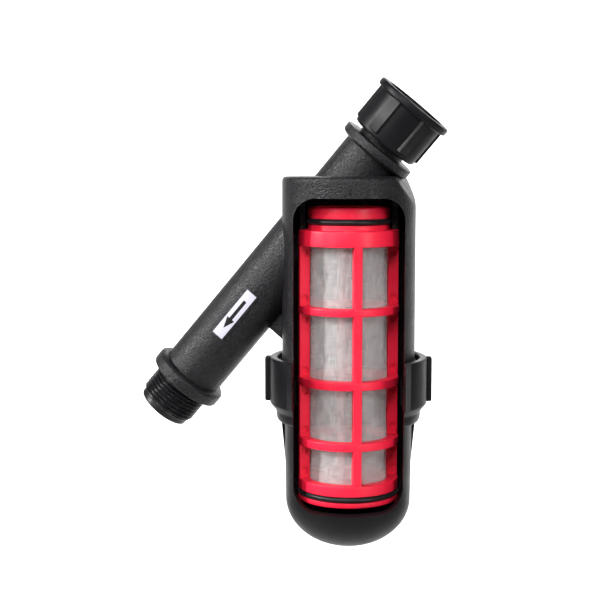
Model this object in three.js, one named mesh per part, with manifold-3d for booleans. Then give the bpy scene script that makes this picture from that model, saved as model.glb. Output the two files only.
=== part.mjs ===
// In-line screen filter for irrigation water, shown as a cut-open sample.
// Millimetres, +Z up. The origin is where the pipe axis crosses the chamber axis.
// The pipe lies in the XZ plane: its inlet climbs towards +X, its outlet falls towards -X.
// A window is cut through the front of the chamber, the ring nut and the bowl.

import * as THREE from 'three';
import { mergeVertices } from 'three/addons/utils/BufferGeometryUtils.js';
import Module from 'manifold-3d';

// ---- how everything is turned -------------------------------------------------------------
const pipeTilt = 40; // degrees between the pipe and the vertical
const facing = 10; // degrees that window, lugs and fins are turned from -Y towards +X
const ribTurn = 10.5; // degrees from the window's middle to the nearest cartridge rib

// ---- clearances ---------------------------------------------------------------------------
const restGap = 0.3; // between faces that touch
const threadGap = 0.4; // round a thread that turns
const slideGap = 0.3; // round a piece that slides in a bore

// ---- cartridge ----------------------------------------------------------------------------
const meshOD = 43.4;
const meshThickness = 0.6;
const cageDepth = 6.1; // from the mesh's clearance out to the hoops' edge
const cageLength = 163.6; // from the neck's top to the foot's underside
const cageNeckStep = 5.4; // the neck stands in from the cage
const cageNeckWall = 4.2;
const cageNeckHeight = 12.4;
const cageHeadHeight = 8.6;
const cageHeadWeb = 2.4; // floor of the head, between neck and mesh
const cageHoops = [[54.2, 4.2], [94, 4.6], [127.6, 4.5]]; // top below the neck's top, height
const cageFootHeight = 12.1;
const ribThickness = 4.6;
const ribCount = 4;
const capThickness = 4;
const sealSection = 3.2; // cartridge O-rings
const neckSealStandOut = 1.05;
const neckSealDepth = 7.9; // below the neck's top
const footSealStandOut = 0.4;
const footSealHeight = 4.6; // above the foot's underside

// ---- pipe ---------------------------------------------------------------------------------
const pipeOD = 35;
const outletBore = 24.5;
const inletBore = 22;
const outletReach = 168; // from the origin to the outlet's end face
const inletReach = 57; // from the origin to the union nut's mouth
const threadOD = 33.25; // G1, both ends
const threadPitch = 2.309;
const threadDepth = 1.48;
const outletThreadLength = 20.5; // with its plain lead-in
const leadIn = 3;
const outletCollarRim = 4.2; // stands out of the pipe
const outletCollarWidth = 7.5;
const inletCollarRim = 4.5;
const inletCollarWidth = 5.6;
const collarSoft = 0.9; // bevel on the collars' edges
const neckWall = 3.25;
const neckPastRing = 2.8;
const webThickness = 4;
const webFoot = 8.1; // from the ring nut's top up to the web, on the chamber's wall

// ---- chamber ------------------------------------------------------------------------------
const waterGap = 5.4; // between the cage and the chamber's bore
const chamberWall = 3.5;
const chamberTop = 4.4; // above the origin
const ringUnderPipe = 12.8; // from the ring nut's top up to the pipe's underside, at the lugs
const headThickness = 12.4;
const neckHeadroom = 4.4; // between the head and the cartridge's neck
const seatWall = 3;
const shoulderRadius = 2.6;
const bevelAngle = 60; // degrees below the horizontal, on the inlet side
const bevelInset = 0.8; // the bevel starts this far inside the inlet collar's rim
const chamberThreadDepth = 2.3;
const chamberThreadPitch = 4;
const chamberThreadTurns = 5;

// ---- ring nut -----------------------------------------------------------------------------
const ringWall = 4.2;
const ringRise = 22.4; // above the chamber's end
const gripHeight = 25.6;
const gripDrop = 4.3; // height of the slope under the grip
const skirtWall = 2.4;
const skirtDrop = 7.8; // below the ledge that carries the bowl
const skirtRound = 3.5;
const lugCount = 8;
const lugWidth = 6.4;
const lugStandOut = 2.7;
const lugInset = 0.2; // from the grip's ends
const topBevel = 1.2;

// ---- bowl ---------------------------------------------------------------------------------
const bowlStep = 1.2; // the bowl's wall stands in from the chamber's
const bowlTaper = 0.8; // on the radius, down to the dome
const bowlWall = 3;
const bowlFlange = 5;
const domeHeight = 27.2;
const seatHeight = 10; // band of the bowl that the foot's O-ring seals in
const spigotRise = 9; // above the bowl's flange
const spigotWall = 4;
const bowlSealSection = 2.6;
const finCount = 4;
const finStandOut = 1.8;
const finThickness = 2.4;
const finLength = 25; // below the skirt

// ---- window -------------------------------------------------------------------------------
const windowMargin = 2.1; // beside the cage
const windowAbove = 5.4; // above the cartridge's neck
const windowBelow = 2.4; // below the cartridge's foot
const windowCorner = 12.4;

// ---- union nut ----------------------------------------------------------------------------
const nutLength = 27.3;
const nutWall = 3.2;
const nutEndRound = 1.6;
const nutRim = 2.8; // the mouth flange stands out of the body
const nutFlangeWidth = 4.2;
const nutRimRound = 1;
const nutPads = 6;
const nutPadWidth = 5.4;
const nutPadStandOut = 0.9;
const nutPadInset = 2.8; // from the nut's back end
const nutPadTurn = 41; // degrees from the front to the first pad
const nutLip = 3.5;
const nutMouthLength = 3;
const nutMouthBevel = 0.9;
const nutGap = 3; // open gap between inlet collar and union nut
const snapRingWidth = 2.2;
const snapRingDepth = 1;
const snapRingWall = 2.65;
const snapRingOpening = 8;
const gasketThickness = 3;
const gasketOD = 30;

// ---- label --------------------------------------------------------------------------------
const labelLength = 31;
const labelWidth = 6.8;
const labelReach = 94.3; // along the pipe, from the origin to the label's middle
const labelTurn = -2; // degrees round the pipe, from -Y
const labelRecess = 0.6;
const labelThickness = 0.4;
const labelPocketSpare = 1.9; // the pocket is wider than the label, on the chamber's side

// ---- how finely round shapes are drawn ----------------------------------------------------
const wideFacets = 40;
const pipeFacets = 28;
const sectionFacets = 6;

const rad = THREE.MathUtils.degToRad;
const wasm = await Module();
wasm.setup();

// ---- making and joining solids ------------------------------------------------------------

/** A manifold solid from a closed three.js geometry. */
function solid(geometry) {
  const bare = geometry.index ? geometry.toNonIndexed() : geometry.clone();
  bare.deleteAttribute('normal');
  bare.deleteAttribute('uv');
  const merged = mergeVertices(bare, 1e-4);
  const points = Float32Array.from(merged.attributes.position.array);
  const corners = [];
  let volume = 0;
  const index = merged.index.array;
  const at = (i) => new THREE.Vector3(points[3 * i], points[3 * i + 1], points[3 * i + 2]);
  for (let i = 0; i < index.length; i += 3) {
    const [a, b, c] = [index[i], index[i + 1], index[i + 2]];
    if (a === b || b === c || c === a) continue;
    corners.push(a, b, c);
    volume += at(a).dot(at(b).cross(at(c)));
  }
  if (volume < 0) corners.reverse();
  const mesh = new wasm.Mesh({
    numProp: 3, vertProperties: points, triVerts: Uint32Array.from(corners),
  });
  return new wasm.Manifold(mesh);
}

/** A three.js geometry from a manifold solid. */
function geometryOf(body) {
  const mesh = body.getMesh();
  const geometry = new THREE.BufferGeometry();
  geometry.setAttribute('position', new THREE.BufferAttribute(mesh.vertProperties, 3));
  geometry.setIndex(new THREE.BufferAttribute(mesh.triVerts, 1));
  return geometry;
}

function join(...bodies) {
  return bodies.reduce((all, next) => all.add(next));
}

function cut(body, ...tools) {
  return tools.reduce((left, tool) => left.subtract(tool), body);
}

/** A solid turned round Z from an outline of [radius, height] points, placed by a matrix. */
function turned(outline, facets, place) {
  const points = outline.map(([r, z]) => new THREE.Vector2(r, z));
  if (outline[0][0] > 0 || outline[outline.length - 1][0] > 0) points.push(points[0].clone());
  const geometry = new THREE.LatheGeometry(points, facets);
  geometry.rotateX(Math.PI / 2);
  if (place) geometry.applyMatrix4(place);
  return solid(geometry);
}

/** A plain round bar from one height to another. */
function bar(diameter, low, high, facets, place) {
  const r = diameter / 2;
  return turned([[0, low], [r, low], [r, high], [0, high]], facets, place);
}

/** A plain tube. */
function tube(outer, inner, low, high, facets, place) {
  const [ro, ri] = [outer / 2, inner / 2];
  return turned([[ri, low], [ro, low], [ro, high], [ri, high]], facets, place);
}

/** A flat shape pushed along Z from zero to a depth, then placed. */
function pushed(shape, depth, place, curveSegments = 8) {
  const geometry = new THREE.ExtrudeGeometry(shape, { depth, bevelEnabled: false, curveSegments });
  if (place) geometry.applyMatrix4(place);
  return solid(geometry);
}

/** A box given by its size and middle, then placed. */
function block(size, middle, place) {
  const geometry = new THREE.BoxGeometry(...size);
  geometry.translate(...middle);
  if (place) geometry.applyMatrix4(place);
  return solid(geometry);
}

/** The turn about Z that brings -Y to an angle towards +X. */
function towards(angle) {
  return new THREE.Matrix4().makeRotationZ(rad(angle));
}

/** An O-ring of round section at a height. */
function ringSeal(outerRadius, section, level) {
  const geometry = new THREE.TorusGeometry(
    outerRadius - section / 2, section / 2, sectionFacets, wideFacets,
  );
  geometry.translate(0, 0, level);
  return solid(geometry);
}

/** A row of ridges for a thread: [radius, height] points that climb from low to high. */
function ridges(rootRadius, crestRadius, low, pitch, count) {
  return Array.from({ length: count }, (_, i) => [
    [crestRadius, low + (i + 0.5) * pitch],
    [rootRadius, low + (i + 1) * pitch],
  ]).flat();
}

/** Quarter-round corner points between two angles, in degrees. */
function corner(r, z, radius, from, to, steps = 3) {
  return Array.from({ length: steps + 1 }, (_, i) => {
    const a = rad(from + ((to - from) * i) / steps);
    return [r + radius * Math.cos(a), z + radius * Math.sin(a)];
  });
}

// ---- places that several pieces share -----------------------------------------------------
const pipeFrame = new THREE.Matrix4().makeRotationY(rad(pipeTilt));
const windowFrame = towards(facing);
const tilt = { sin: Math.sin(rad(pipeTilt)), cos: Math.cos(rad(pipeTilt)) };

const meshBore = meshOD + 2 * slideGap; // of the cage round the mesh
const cageOD = meshBore + 2 * cageDepth;
const cageNeckOD = cageOD - 2 * cageNeckStep;
const headUnder = chamberTop - headThickness;
const neckTop = headUnder - neckHeadroom;
const cageHeadTop = neckTop - cageNeckHeight;
const cageHeadLow = cageHeadTop - cageHeadHeight;
const cageFootLow = neckTop - cageLength;
const cageFootTop = cageFootLow + cageFootHeight;
const neckSealLevel = neckTop - neckSealDepth;
const footSealLevel = cageFootLow + footSealHeight;

const chamberBore = cageOD + 2 * waterGap;
const chamberOD = chamberBore + 2 * chamberWall;
const ringBore = chamberOD + 2 * (chamberThreadDepth + threadGap);
const gripOD = ringBore + 2 * ringWall;
const lugReach = gripOD / 2 + lugStandOut;
const pipeUnderside = -(pipeOD / 2 + tilt.cos * lugReach) / tilt.sin; // level at the lugs
const ringTop = pipeUnderside - ringUnderPipe;
const chamberEnd = ringTop - ringRise;
const bowlTopOD = chamberOD - 2 * bowlStep;
const bowlFootOD = bowlTopOD - 2 * bowlTaper;
const flangeTop = chamberEnd - restGap;
const flangeLow = flangeTop - bowlFlange;
const ledgeTop = flangeLow - restGap;
const domeStart = cageFootLow;
const lipBore = bowlTopOD + 2 * (finStandOut + threadGap);
const skirtOD = lipBore + 2 * skirtWall;
const skirtBottom = ledgeTop - skirtDrop;
const gripLow = ringTop - gripHeight;
const neckSeatBore = cageNeckOD + 2 * (neckSealStandOut + slideGap);
const footSeatBore = cageOD + 2 * (footSealStandOut + slideGap);

const neckOD = inletBore + 2 * neckWall;
const nutBack = inletReach - nutLength;
const nutInside = nutBack + nutLip;
const collarFront = nutBack - nutGap;
const collarBack = collarFront - inletCollarWidth;
const inletCollarOD = pipeOD + 2 * inletCollarRim;
const grooveLow = nutInside + restGap;
const grooveHigh = grooveLow + snapRingWidth + restGap;
const neckEnd = grooveHigh + neckPastRing;
const gasketLow = neckEnd + restGap;

/** The tool that cuts the window: from outside the front to the chamber's middle plane. */
function windowTool() {
  const [w, r] = [cageOD / 2 + windowMargin, windowCorner];
  const windowTop = neckTop + windowAbove;
  const windowBottom = cageFootLow - windowBelow;
  const shape = new THREE.Shape();
  shape.moveTo(-w + r, windowBottom);
  shape.lineTo(w - r, windowBottom);
  shape.absarc(w - r, windowBottom + r, r, -Math.PI / 2, 0);
  shape.lineTo(w, windowTop - r);
  shape.absarc(w - r, windowTop - r, r, 0, Math.PI / 2);
  shape.lineTo(-w + r, windowTop);
  shape.absarc(-w + r, windowTop - r, r, Math.PI / 2, Math.PI);
  shape.lineTo(-w, windowBottom + r);
  shape.absarc(-w + r, windowBottom + r, r, Math.PI, 1.5 * Math.PI);
  const depth = gripOD;
  const stand = new THREE.Matrix4().makeRotationX(Math.PI / 2);
  return pushed(shape, depth, windowFrame.clone().multiply(stand), 8);
}

// ---- filter body --------------------------------------------------------------------------

/** The outline of a collar on the pipe, with bevelled edges. */
function collarSteps(radius, low, high) {
  return [
    [radius - collarSoft, low], [radius, low + collarSoft],
    [radius, high - collarSoft], [radius - collarSoft, high],
  ];
}

function pipeSolid() {
  const threadRoot = threadOD / 2 - threadDepth;
  const turns = Math.floor((outletThreadLength - leadIn) / threadPitch);
  const end = -outletReach;
  const threadEnd = end + outletThreadLength;
  const outletCollarEnd = threadEnd + outletCollarWidth;
  const groove = neckOD / 2 - snapRingDepth;
  return turned([
    [0, end],
    [threadRoot - collarSoft, end],
    [threadRoot, end + collarSoft],
    [threadRoot, end + leadIn],
    ...ridges(threadRoot, threadOD / 2, end + leadIn, threadPitch, turns),
    [threadRoot, threadEnd],
    ...collarSteps(pipeOD / 2 + outletCollarRim, threadEnd, outletCollarEnd),
    [pipeOD / 2, outletCollarEnd],
    [pipeOD / 2, collarBack],
    ...collarSteps(inletCollarOD / 2, collarBack, collarFront),
    [neckOD / 2, collarFront],
    [neckOD / 2, grooveLow],
    [groove, grooveLow],
    [groove, grooveHigh],
    [neckOD / 2, grooveHigh],
    [neckOD / 2, neckEnd],
    [0, neckEnd],
  ], pipeFacets, pipeFrame);
}

function chamberSolid() {
  const r = chamberOD / 2;
  const threadLow = chamberEnd + 1;
  return turned([
    [0, chamberEnd],
    [r, chamberEnd],
    [r, threadLow],
    ...ridges(r, r + chamberThreadDepth, threadLow, chamberThreadPitch, chamberThreadTurns),
    ...corner(r - shoulderRadius, chamberTop - shoulderRadius, shoulderRadius, 0, 90),
    [0, chamberTop],
  ], wideFacets);
}

/** Everything above a slope on the inlet side, which starts under the inlet collar's rim. */
function bevelTool() {
  const rim = inletCollarOD / 2 - bevelInset;
  const slope = new THREE.Matrix4().makeRotationY(rad(bevelAngle));
  slope.setPosition(tilt.sin * collarBack + tilt.cos * rim, 0, tilt.cos * collarBack - tilt.sin * rim);
  return block([chamberOD, chamberOD, chamberOD], [0, 0, chamberOD / 2], slope);
}

/** The web that fills the lower crotch between outlet pipe and chamber. */
function webSolid() {
  const half = pipeOD / 2;
  const webReach = (tilt.sin * chamberOD) / 2 - tilt.cos * (ringTop + webFoot); // along the pipe
  const edgeX = -tilt.sin * webReach + tilt.cos * half;
  const edgeZ = -tilt.cos * webReach - tilt.sin * half;
  const inset = chamberWall / 2; // how far the web runs into pipe and chamber
  const wallX = -chamberOD / 2 + inset;
  const shape = new THREE.Shape();
  shape.moveTo(edgeX - tilt.cos * inset, edgeZ + tilt.sin * inset);
  shape.lineTo(wallX, edgeZ - ((wallX - edgeX) * tilt.sin) / tilt.cos);
  shape.lineTo(wallX, wallX / Math.tan(rad(pipeTilt)));
  const stand = new THREE.Matrix4().makeRotationX(Math.PI / 2);
  stand.setPosition(0, webThickness / 2, 0);
  return pushed(shape, webThickness, stand);
}

function filterBody() {
  const past = 1; // how far a tool runs past the face it opens
  const inletLow = (headUnder - (tilt.sin * inletBore) / 2) / tilt.cos;
  const outletStart = -(chamberBore / 2 - outletBore / 4) / tilt.sin;
  const outside = join(cut(chamberSolid(), bevelTool()), pipeSolid(), webSolid());
  const water = [
    bar(chamberBore, chamberEnd - past, headUnder, wideFacets),
    bar(inletBore, inletLow - past, neckEnd + past, pipeFacets, pipeFrame),
    bar(outletBore, -outletReach - past, outletStart, pipeFacets, pipeFrame),
  ];
  const seat = tube(
    neckSeatBore + 2 * seatWall, neckSeatBore, cageHeadTop + restGap, headUnder + past, wideFacets,
  );
  return cut(join(cut(outside, ...water), seat), windowTool(), labelPocket());
}

// ---- union nut and what it holds ----------------------------------------------------------

/** The nut's bore from the mouth back to the lip, with its thread ridges. */
function nutBoreSteps(root, crest) {
  const threadLow = gasketLow + gasketThickness + restGap;
  const mouthLow = inletReach - nutMouthLength;
  const turns = Math.floor((mouthLow - threadLow) / threadPitch);
  const thread = ridges(root, crest, threadLow, threadPitch, turns);
  return [
    [root + nutMouthBevel, inletReach], [root, mouthLow],
    ...thread.reverse(),
    [root, threadLow], [root, nutInside],
  ];
}

function unionNut() {
  const root = threadOD / 2 + threadGap;
  const r = root + nutWall;
  const rim = r + nutRim;
  const lip = neckOD / 2 + slideGap;
  const flangeLow = inletReach - nutFlangeWidth;
  const body = turned([
    [lip, nutBack],
    ...corner(r - nutEndRound, nutBack + nutEndRound, nutEndRound, -90, 0),
    [r, flangeLow],
    [rim - nutRimRound, flangeLow],
    [rim, flangeLow + nutRimRound],
    [rim, inletReach - nutRimRound],
    [rim - nutRimRound, inletReach],
    ...nutBoreSteps(root, root - threadDepth),
    [lip, nutInside],
  ], pipeFacets);
  const padLow = nutBack + nutPadInset;
  const padHigh = flangeLow + nutFlangeWidth / 4;
  const padDepth = nutPadStandOut + nutWall / 2;
  const pads = Array.from({ length: nutPads }, (_, i) => block(
    [nutPadWidth, padDepth, padHigh - padLow],
    [0, -r - nutPadStandOut + padDepth / 2, (padLow + padHigh) / 2],
    towards(nutPadTurn + (i * 360) / nutPads),
  ));
  return join(body, ...pads);
}

function inletGasket() {
  return tube(gasketOD, inletBore, gasketLow, gasketLow + gasketThickness, pipeFacets);
}

function snapRing() {
  const low = grooveLow + restGap / 2;
  const inner = neckOD - 2 * (snapRingDepth - slideGap);
  const outer = inner + 2 * snapRingWall;
  const ring = tube(outer, inner, low, low + snapRingWidth, pipeFacets);
  const opening = block([snapRingOpening, outer, 2 * snapRingWidth], [0, outer / 2, low]);
  return cut(ring, opening);
}

// ---- ring nut -----------------------------------------------------------------------------

function ringNut() {
  const grip = gripOD / 2;
  const skirt = skirtOD / 2;
  const bore = ringBore / 2;
  const lugDepth = lugStandOut + ringWall / 2;
  const lugHeight = gripHeight - 2 * lugInset;
  const lugs = Array.from({ length: lugCount }, (_, i) => block(
    [lugWidth, lugDepth, lugHeight],
    [0, -grip - lugStandOut + lugDepth / 2, ringTop - gripHeight / 2],
    towards(facing + (i * 360) / lugCount),
  ));
  const ring = turned([
    [lipBore / 2, skirtBottom],
    ...corner(skirt - skirtRound, skirtBottom + skirtRound, skirtRound, -70, 0),
    [skirt, gripLow - gripDrop],
    [grip, gripLow],
    [grip, ringTop - topBevel],
    [grip - topBevel, ringTop],
    [bore + topBevel, ringTop],
    [bore, ringTop - topBevel],
    [bore, ledgeTop],
    [lipBore / 2, ledgeTop],
  ], wideFacets);
  return cut(join(ring, ...lugs), windowTool());
}

// ---- bowl ---------------------------------------------------------------------------------

/** Points of half an oval, from its equator down to the axis. */
function ovalEnd(radius, top, height, steps) {
  return Array.from({ length: steps + 1 }, (_, i) => {
    const a = (Math.PI / 2) * (i / steps);
    return [i === steps ? 0 : radius * Math.cos(a), top - height * Math.sin(a)];
  });
}

function bowl() {
  const spigot = chamberBore / 2 - slideGap;
  const groove = spigot - bowlSealSection + slideGap;
  const sealLevel = flangeTop + spigotRise / 2;
  const halfGroove = bowlSealSection / 2 + restGap / 2;
  const seatTop = footSealLevel + seatHeight / 2;
  const flange = ringBore / 2 - threadGap;
  const body = turned([
    ...ovalEnd(bowlFootOD / 2, domeStart, domeHeight, 7).reverse(),
    [bowlTopOD / 2, flangeLow],
    [flange, flangeLow],
    [flange, flangeTop],
    [spigot, flangeTop],
    [spigot, sealLevel - halfGroove],
    [groove, sealLevel - halfGroove],
    [groove, sealLevel + halfGroove],
    [spigot, sealLevel + halfGroove],
    [spigot, flangeTop + spigotRise],
    [spigot - spigotWall, flangeTop + spigotRise],
    [spigot - spigotWall, flangeLow],
    [bowlTopOD / 2 - bowlWall, flangeLow - bowlWall],
    [bowlFootOD / 2 - bowlWall, seatTop + bowlWall],
    [footSeatBore / 2, seatTop],
    ...ovalEnd(footSeatBore / 2, domeStart - bowlWall, domeHeight - 2 * bowlWall, 6),
  ], wideFacets);
  const fins = Array.from({ length: finCount }, (_, i) => finSolid(i));
  return cut(join(body, ...fins), windowTool());
}

/** One upright fin, widest under the flange and run out to nothing down the wall. */
function finSolid(i) {
  const root = bowlFootOD / 2 - bowlWall / 2;
  const out = bowlTopOD / 2 + finStandOut;
  const high = flangeLow + bowlFlange / 2;
  const tip = skirtBottom - finLength;
  const shape = new THREE.Shape();
  shape.moveTo(root, high);
  shape.lineTo(root, tip);
  shape.lineTo(bowlTopOD / 2 - bowlTaper, tip);
  shape.lineTo(out, skirtBottom);
  shape.lineTo(out, high);
  const stand = new THREE.Matrix4().makeRotationX(Math.PI / 2);
  stand.setPosition(0, finThickness / 2, 0);
  const turn = towards(facing - 90 + (i * 360) / finCount);
  return pushed(shape, finThickness, turn.multiply(stand));
}

/** The bowl's O-ring, cut open with the bowl and the chamber that it seals. */
function bowlSeal() {
  const outer = chamberBore / 2 - slideGap / 2;
  const seal = ringSeal(outer, bowlSealSection - slideGap, flangeTop + spigotRise / 2);
  return cut(seal, windowTool());
}

// ---- cartridge ----------------------------------------------------------------------------

/** The outline of a band with a groove round an O-ring's level. */
function grooveSteps(radius, level, standOut) {
  const half = sealSection / 2 + restGap / 2;
  const root = radius + standOut - sealSection - slideGap;
  return [
    [radius, level - half], [root, level - half], [root, level + half], [radius, level + half],
  ];
}

function cageNeck() {
  const r = cageNeckOD / 2;
  const inner = r - cageNeckWall;
  const soft = 1.2;
  return turned([
    [inner, cageHeadTop - cageHeadWeb / 2],
    [r, cageHeadTop - cageHeadWeb / 2],
    ...grooveSteps(r, neckSealLevel, neckSealStandOut),
    [r, neckTop - soft],
    [r - soft, neckTop],
    [inner, neckTop],
  ], wideFacets);
}

function cageHead() {
  const inner = cageNeckOD / 2 - cageNeckWall;
  const draft = 0.4;
  return turned([
    [meshBore / 2, cageHeadLow], [cageOD / 2, cageHeadLow],
    [cageOD / 2 - draft, cageHeadTop], [inner, cageHeadTop],
    [inner, cageHeadTop - cageHeadWeb], [meshBore / 2, cageHeadTop - cageHeadWeb],
  ], wideFacets);
}

function cageFoot() {
  const r = cageOD / 2;
  const soft = 1;
  return turned([
    [meshBore / 2, cageFootLow], [r - soft, cageFootLow], [r, cageFootLow + soft],
    ...grooveSteps(r, footSealLevel, footSealStandOut),
    [r, cageFootTop], [meshBore / 2, cageFootTop],
  ], wideFacets);
}

/** One upright rib, from the cage's head to its foot. */
function cageRib(i) {
  const out = cageOD / 2 - 0.2;
  const inner = meshBore / 2;
  const [low, high] = [cageFootTop - 1, cageHeadLow + 1];
  const turn = towards(facing + ribTurn + (i * 360) / ribCount);
  return block(
    [ribThickness, out - inner, high - low], [0, -(out + inner) / 2, (low + high) / 2], turn,
  );
}

function cartridgeFrame() {
  const hoops = cageHoops.map(([down, height]) => tube(
    cageOD, meshBore, neckTop - down - height, neckTop - down, wideFacets,
  ));
  const ribs = Array.from({ length: ribCount }, (_, i) => cageRib(i));
  return join(cageNeck(), cageHead(), cageFoot(), ...hoops, ...ribs);
}

function endCap() {
  return bar(meshOD, cageFootLow, cageFootLow + capThickness, wideFacets);
}

function meshSleeve() {
  const low = cageFootLow + capThickness + restGap;
  const high = cageHeadTop - cageHeadWeb - restGap;
  return tube(meshOD, meshOD - 2 * meshThickness, low, high, wideFacets);
}

function neckSeal() {
  return ringSeal(cageNeckOD / 2 + neckSealStandOut, sealSection, neckSealLevel);
}

function footSeal() {
  return ringSeal(cageOD / 2 + footSealStandOut, sealSection, footSealLevel);
}

// ---- label --------------------------------------------------------------------------------

/** A curved plate round the pipe, from one radius to another, where the label lies. Its
 *  widths are measured round the pipe, to both sides of the label's middle. */
function labelPlate(length, [before, after], inner, outer) {
  const [left, right] = [before / (pipeOD / 2), after / (pipeOD / 2)];
  const middle = -Math.PI / 2 + rad(labelTurn);
  const shape = new THREE.Shape();
  shape.absarc(0, 0, outer, middle - left, middle + right, false);
  shape.absarc(0, 0, inner, middle + right, middle - left, true);
  const slide = new THREE.Matrix4().makeTranslation(0, 0, -labelReach - length / 2);
  return pushed(shape, length, pipeFrame.clone().multiply(slide), 4);
}

/** The shallow pocket in the pipe that the label lies in. */
function labelPocket() {
  const past = 1;
  const r = pipeOD / 2;
  const half = labelWidth / 2 + restGap;
  const widths = [half, half + labelPocketSpare];
  return labelPlate(labelLength + 2 * restGap, widths, r - labelRecess, r + past);
}

function flowLabel() {
  const inner = pipeOD / 2 - labelRecess + restGap;
  const half = labelWidth / 2;
  return labelPlate(labelLength, [half, half], inner, inner + labelThickness);
}

// ---- the assembly -------------------------------------------------------------------------

const finishes = {
  texturedBlack: { color: 0x2b2b2d, roughness: 0.62, metalness: 0 },
  satinBlack: { color: 0x252527, roughness: 0.45, metalness: 0 },
  red: { color: 0xe22a45, roughness: 0.45, metalness: 0 },
  rubber: { color: 0x151516, roughness: 0.55, metalness: 0 },
  screen: { color: 0xbdb8b2, roughness: 0.5, metalness: 0 },
  label: { color: 0xe9e8f2, roughness: 0.4, metalness: 0 },
};

/** A named mesh with its own material. */
function piece(name, body, finish) {
  const mesh = new THREE.Mesh(geometryOf(body), new THREE.MeshStandardMaterial(finishes[finish]));
  mesh.name = name;
  return mesh;
}

const filter = new THREE.Group();
filter.add(piece('filter_body', filterBody(), 'texturedBlack'));
filter.add(piece('ring_nut', ringNut(), 'satinBlack'));
filter.add(piece('bowl', bowl(), 'satinBlack'));
filter.add(piece('bowl_o_ring', bowlSeal(), 'rubber'));
filter.add(piece('flow_label', flowLabel(), 'label'));

const inlet = new THREE.Group();
inlet.rotation.y = rad(pipeTilt);
inlet.add(piece('inlet_union_nut', unionNut(), 'satinBlack'));
inlet.add(piece('inlet_gasket', inletGasket(), 'rubber'));
inlet.add(piece('nut_snap_ring', snapRing(), 'satinBlack'));
filter.add(inlet);

const cartridge = new THREE.Group();
cartridge.add(piece('cartridge_frame', cartridgeFrame(), 'red'));
cartridge.add(piece('cartridge_end_cap', endCap(), 'red'));
cartridge.add(piece('mesh_sleeve', meshSleeve(), 'screen'));
cartridge.add(piece('neck_o_ring', neckSeal(), 'rubber'));
cartridge.add(piece('foot_o_ring', footSeal(), 'rubber'));
filter.add(cartridge);

export default filter;
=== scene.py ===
import math

import bpy
import numpy as np
from mathutils import Matrix, Vector


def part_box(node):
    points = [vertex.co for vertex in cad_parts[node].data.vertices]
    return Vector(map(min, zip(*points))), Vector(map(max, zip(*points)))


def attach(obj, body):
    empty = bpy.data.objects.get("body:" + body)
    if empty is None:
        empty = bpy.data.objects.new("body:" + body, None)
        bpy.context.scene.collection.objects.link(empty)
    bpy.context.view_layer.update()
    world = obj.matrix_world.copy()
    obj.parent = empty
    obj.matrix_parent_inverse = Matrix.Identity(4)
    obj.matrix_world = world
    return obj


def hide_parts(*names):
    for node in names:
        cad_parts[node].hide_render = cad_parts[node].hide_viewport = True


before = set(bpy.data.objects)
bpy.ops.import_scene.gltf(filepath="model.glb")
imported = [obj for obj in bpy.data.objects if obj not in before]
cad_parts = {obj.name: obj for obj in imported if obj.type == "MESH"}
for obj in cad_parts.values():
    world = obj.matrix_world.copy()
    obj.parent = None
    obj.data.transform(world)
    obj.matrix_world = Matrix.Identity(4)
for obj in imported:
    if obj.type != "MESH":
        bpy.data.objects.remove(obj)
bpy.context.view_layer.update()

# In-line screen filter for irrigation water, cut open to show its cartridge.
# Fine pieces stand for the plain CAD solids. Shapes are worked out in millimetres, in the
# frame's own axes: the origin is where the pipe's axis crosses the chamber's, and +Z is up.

MM = 0.001
TAU = 2 * math.pi
DEGREE = math.pi / 180

# ---- driving dimensions, in millimetres ----------------------------------------------------


def span(node):
    """A CAD node's lowest and highest corners, in millimetres."""
    low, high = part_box(node)
    return np.array(low) / MM, np.array(high) / MM


# Clearance between pieces that rest on each other, and between two threads.
REST_GAP = 0.3
THREAD_GAP = 0.4
QUARTER = TAU / 4

# The pipe leans from +Z towards +X. The window faces -Y, turned a little towards +X, and the
# cartridge's front rib is turned on from the window's middle.
PIPE_TILT = 40 * DEGREE
FACING = 10 * DEGREE
RIB_TURN = 10.5 * DEGREE

cage_low, cage_high = span("cartridge_frame")
sleeve_low, sleeve_high = span("mesh_sleeve")
seal_low, seal_high = span("neck_o_ring")
foot_seal_low, foot_seal_high = span("foot_o_ring")
ring_low, ring_high = span("ring_nut")
cap_low, cap_high = span("cartridge_end_cap")

# The cartridge. Each hoop: how far its top lies under the cage's top, and its height.
CAGE_R = cage_high[1]
CAGE_TOP = cage_high[2]
CAGE_FOOT = cage_low[2]
MESH_R = sleeve_high[1]
CAGE_BORE = MESH_R + REST_GAP
NECK_R = CAGE_R - 5.4
NECK_HEIGHT = 12.4
HEAD_HEIGHT = 8.6
FOOT_HEIGHT = 12.1
HOOPS = ((54.2, 4.2), (94.0, 4.6), (127.6, 4.5))
RIB_THICKNESS = 4.6
SEAL_SECTION = 3.2
NECK_SEAL = (seal_low[2] + seal_high[2]) / 2
FOOT_SEAL = (foot_seal_low[2] + foot_seal_high[2]) / 2

# The pipe, from its threaded outlet to the neck that carries the union nut. Reaches are
# distances along its axis from the origin.
PIPE_R = 17.5
OUTLET_COLLAR_R = PIPE_R + 4.2
OUTLET_COLLAR = 7.5
INLET_BORE = 11.0
OUTLET_BORE = 12.25
OUTLET_REACH = 168.0
INLET_REACH = 57.0
THREAD_R = 16.625
THREAD_DEPTH = 1.48
THREAD_PITCH = 2.309
OUTLET_THREAD = 20.5
LEAD_IN = 3.2
NECK_PIPE_R = 14.25

# The chamber that hangs from the pipe, open at its lower end.
CHAMBER_BORE = 33.5
CHAMBER_R = 37.0
CHAMBER_TOP = 4.4
HEAD_UNDER = CHAMBER_TOP - 12.4
RING_TOP = ring_high[2]
CHAMBER_END = RING_TOP - 22.4
SEAT_BORE = seal_high[1] + REST_GAP

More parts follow.
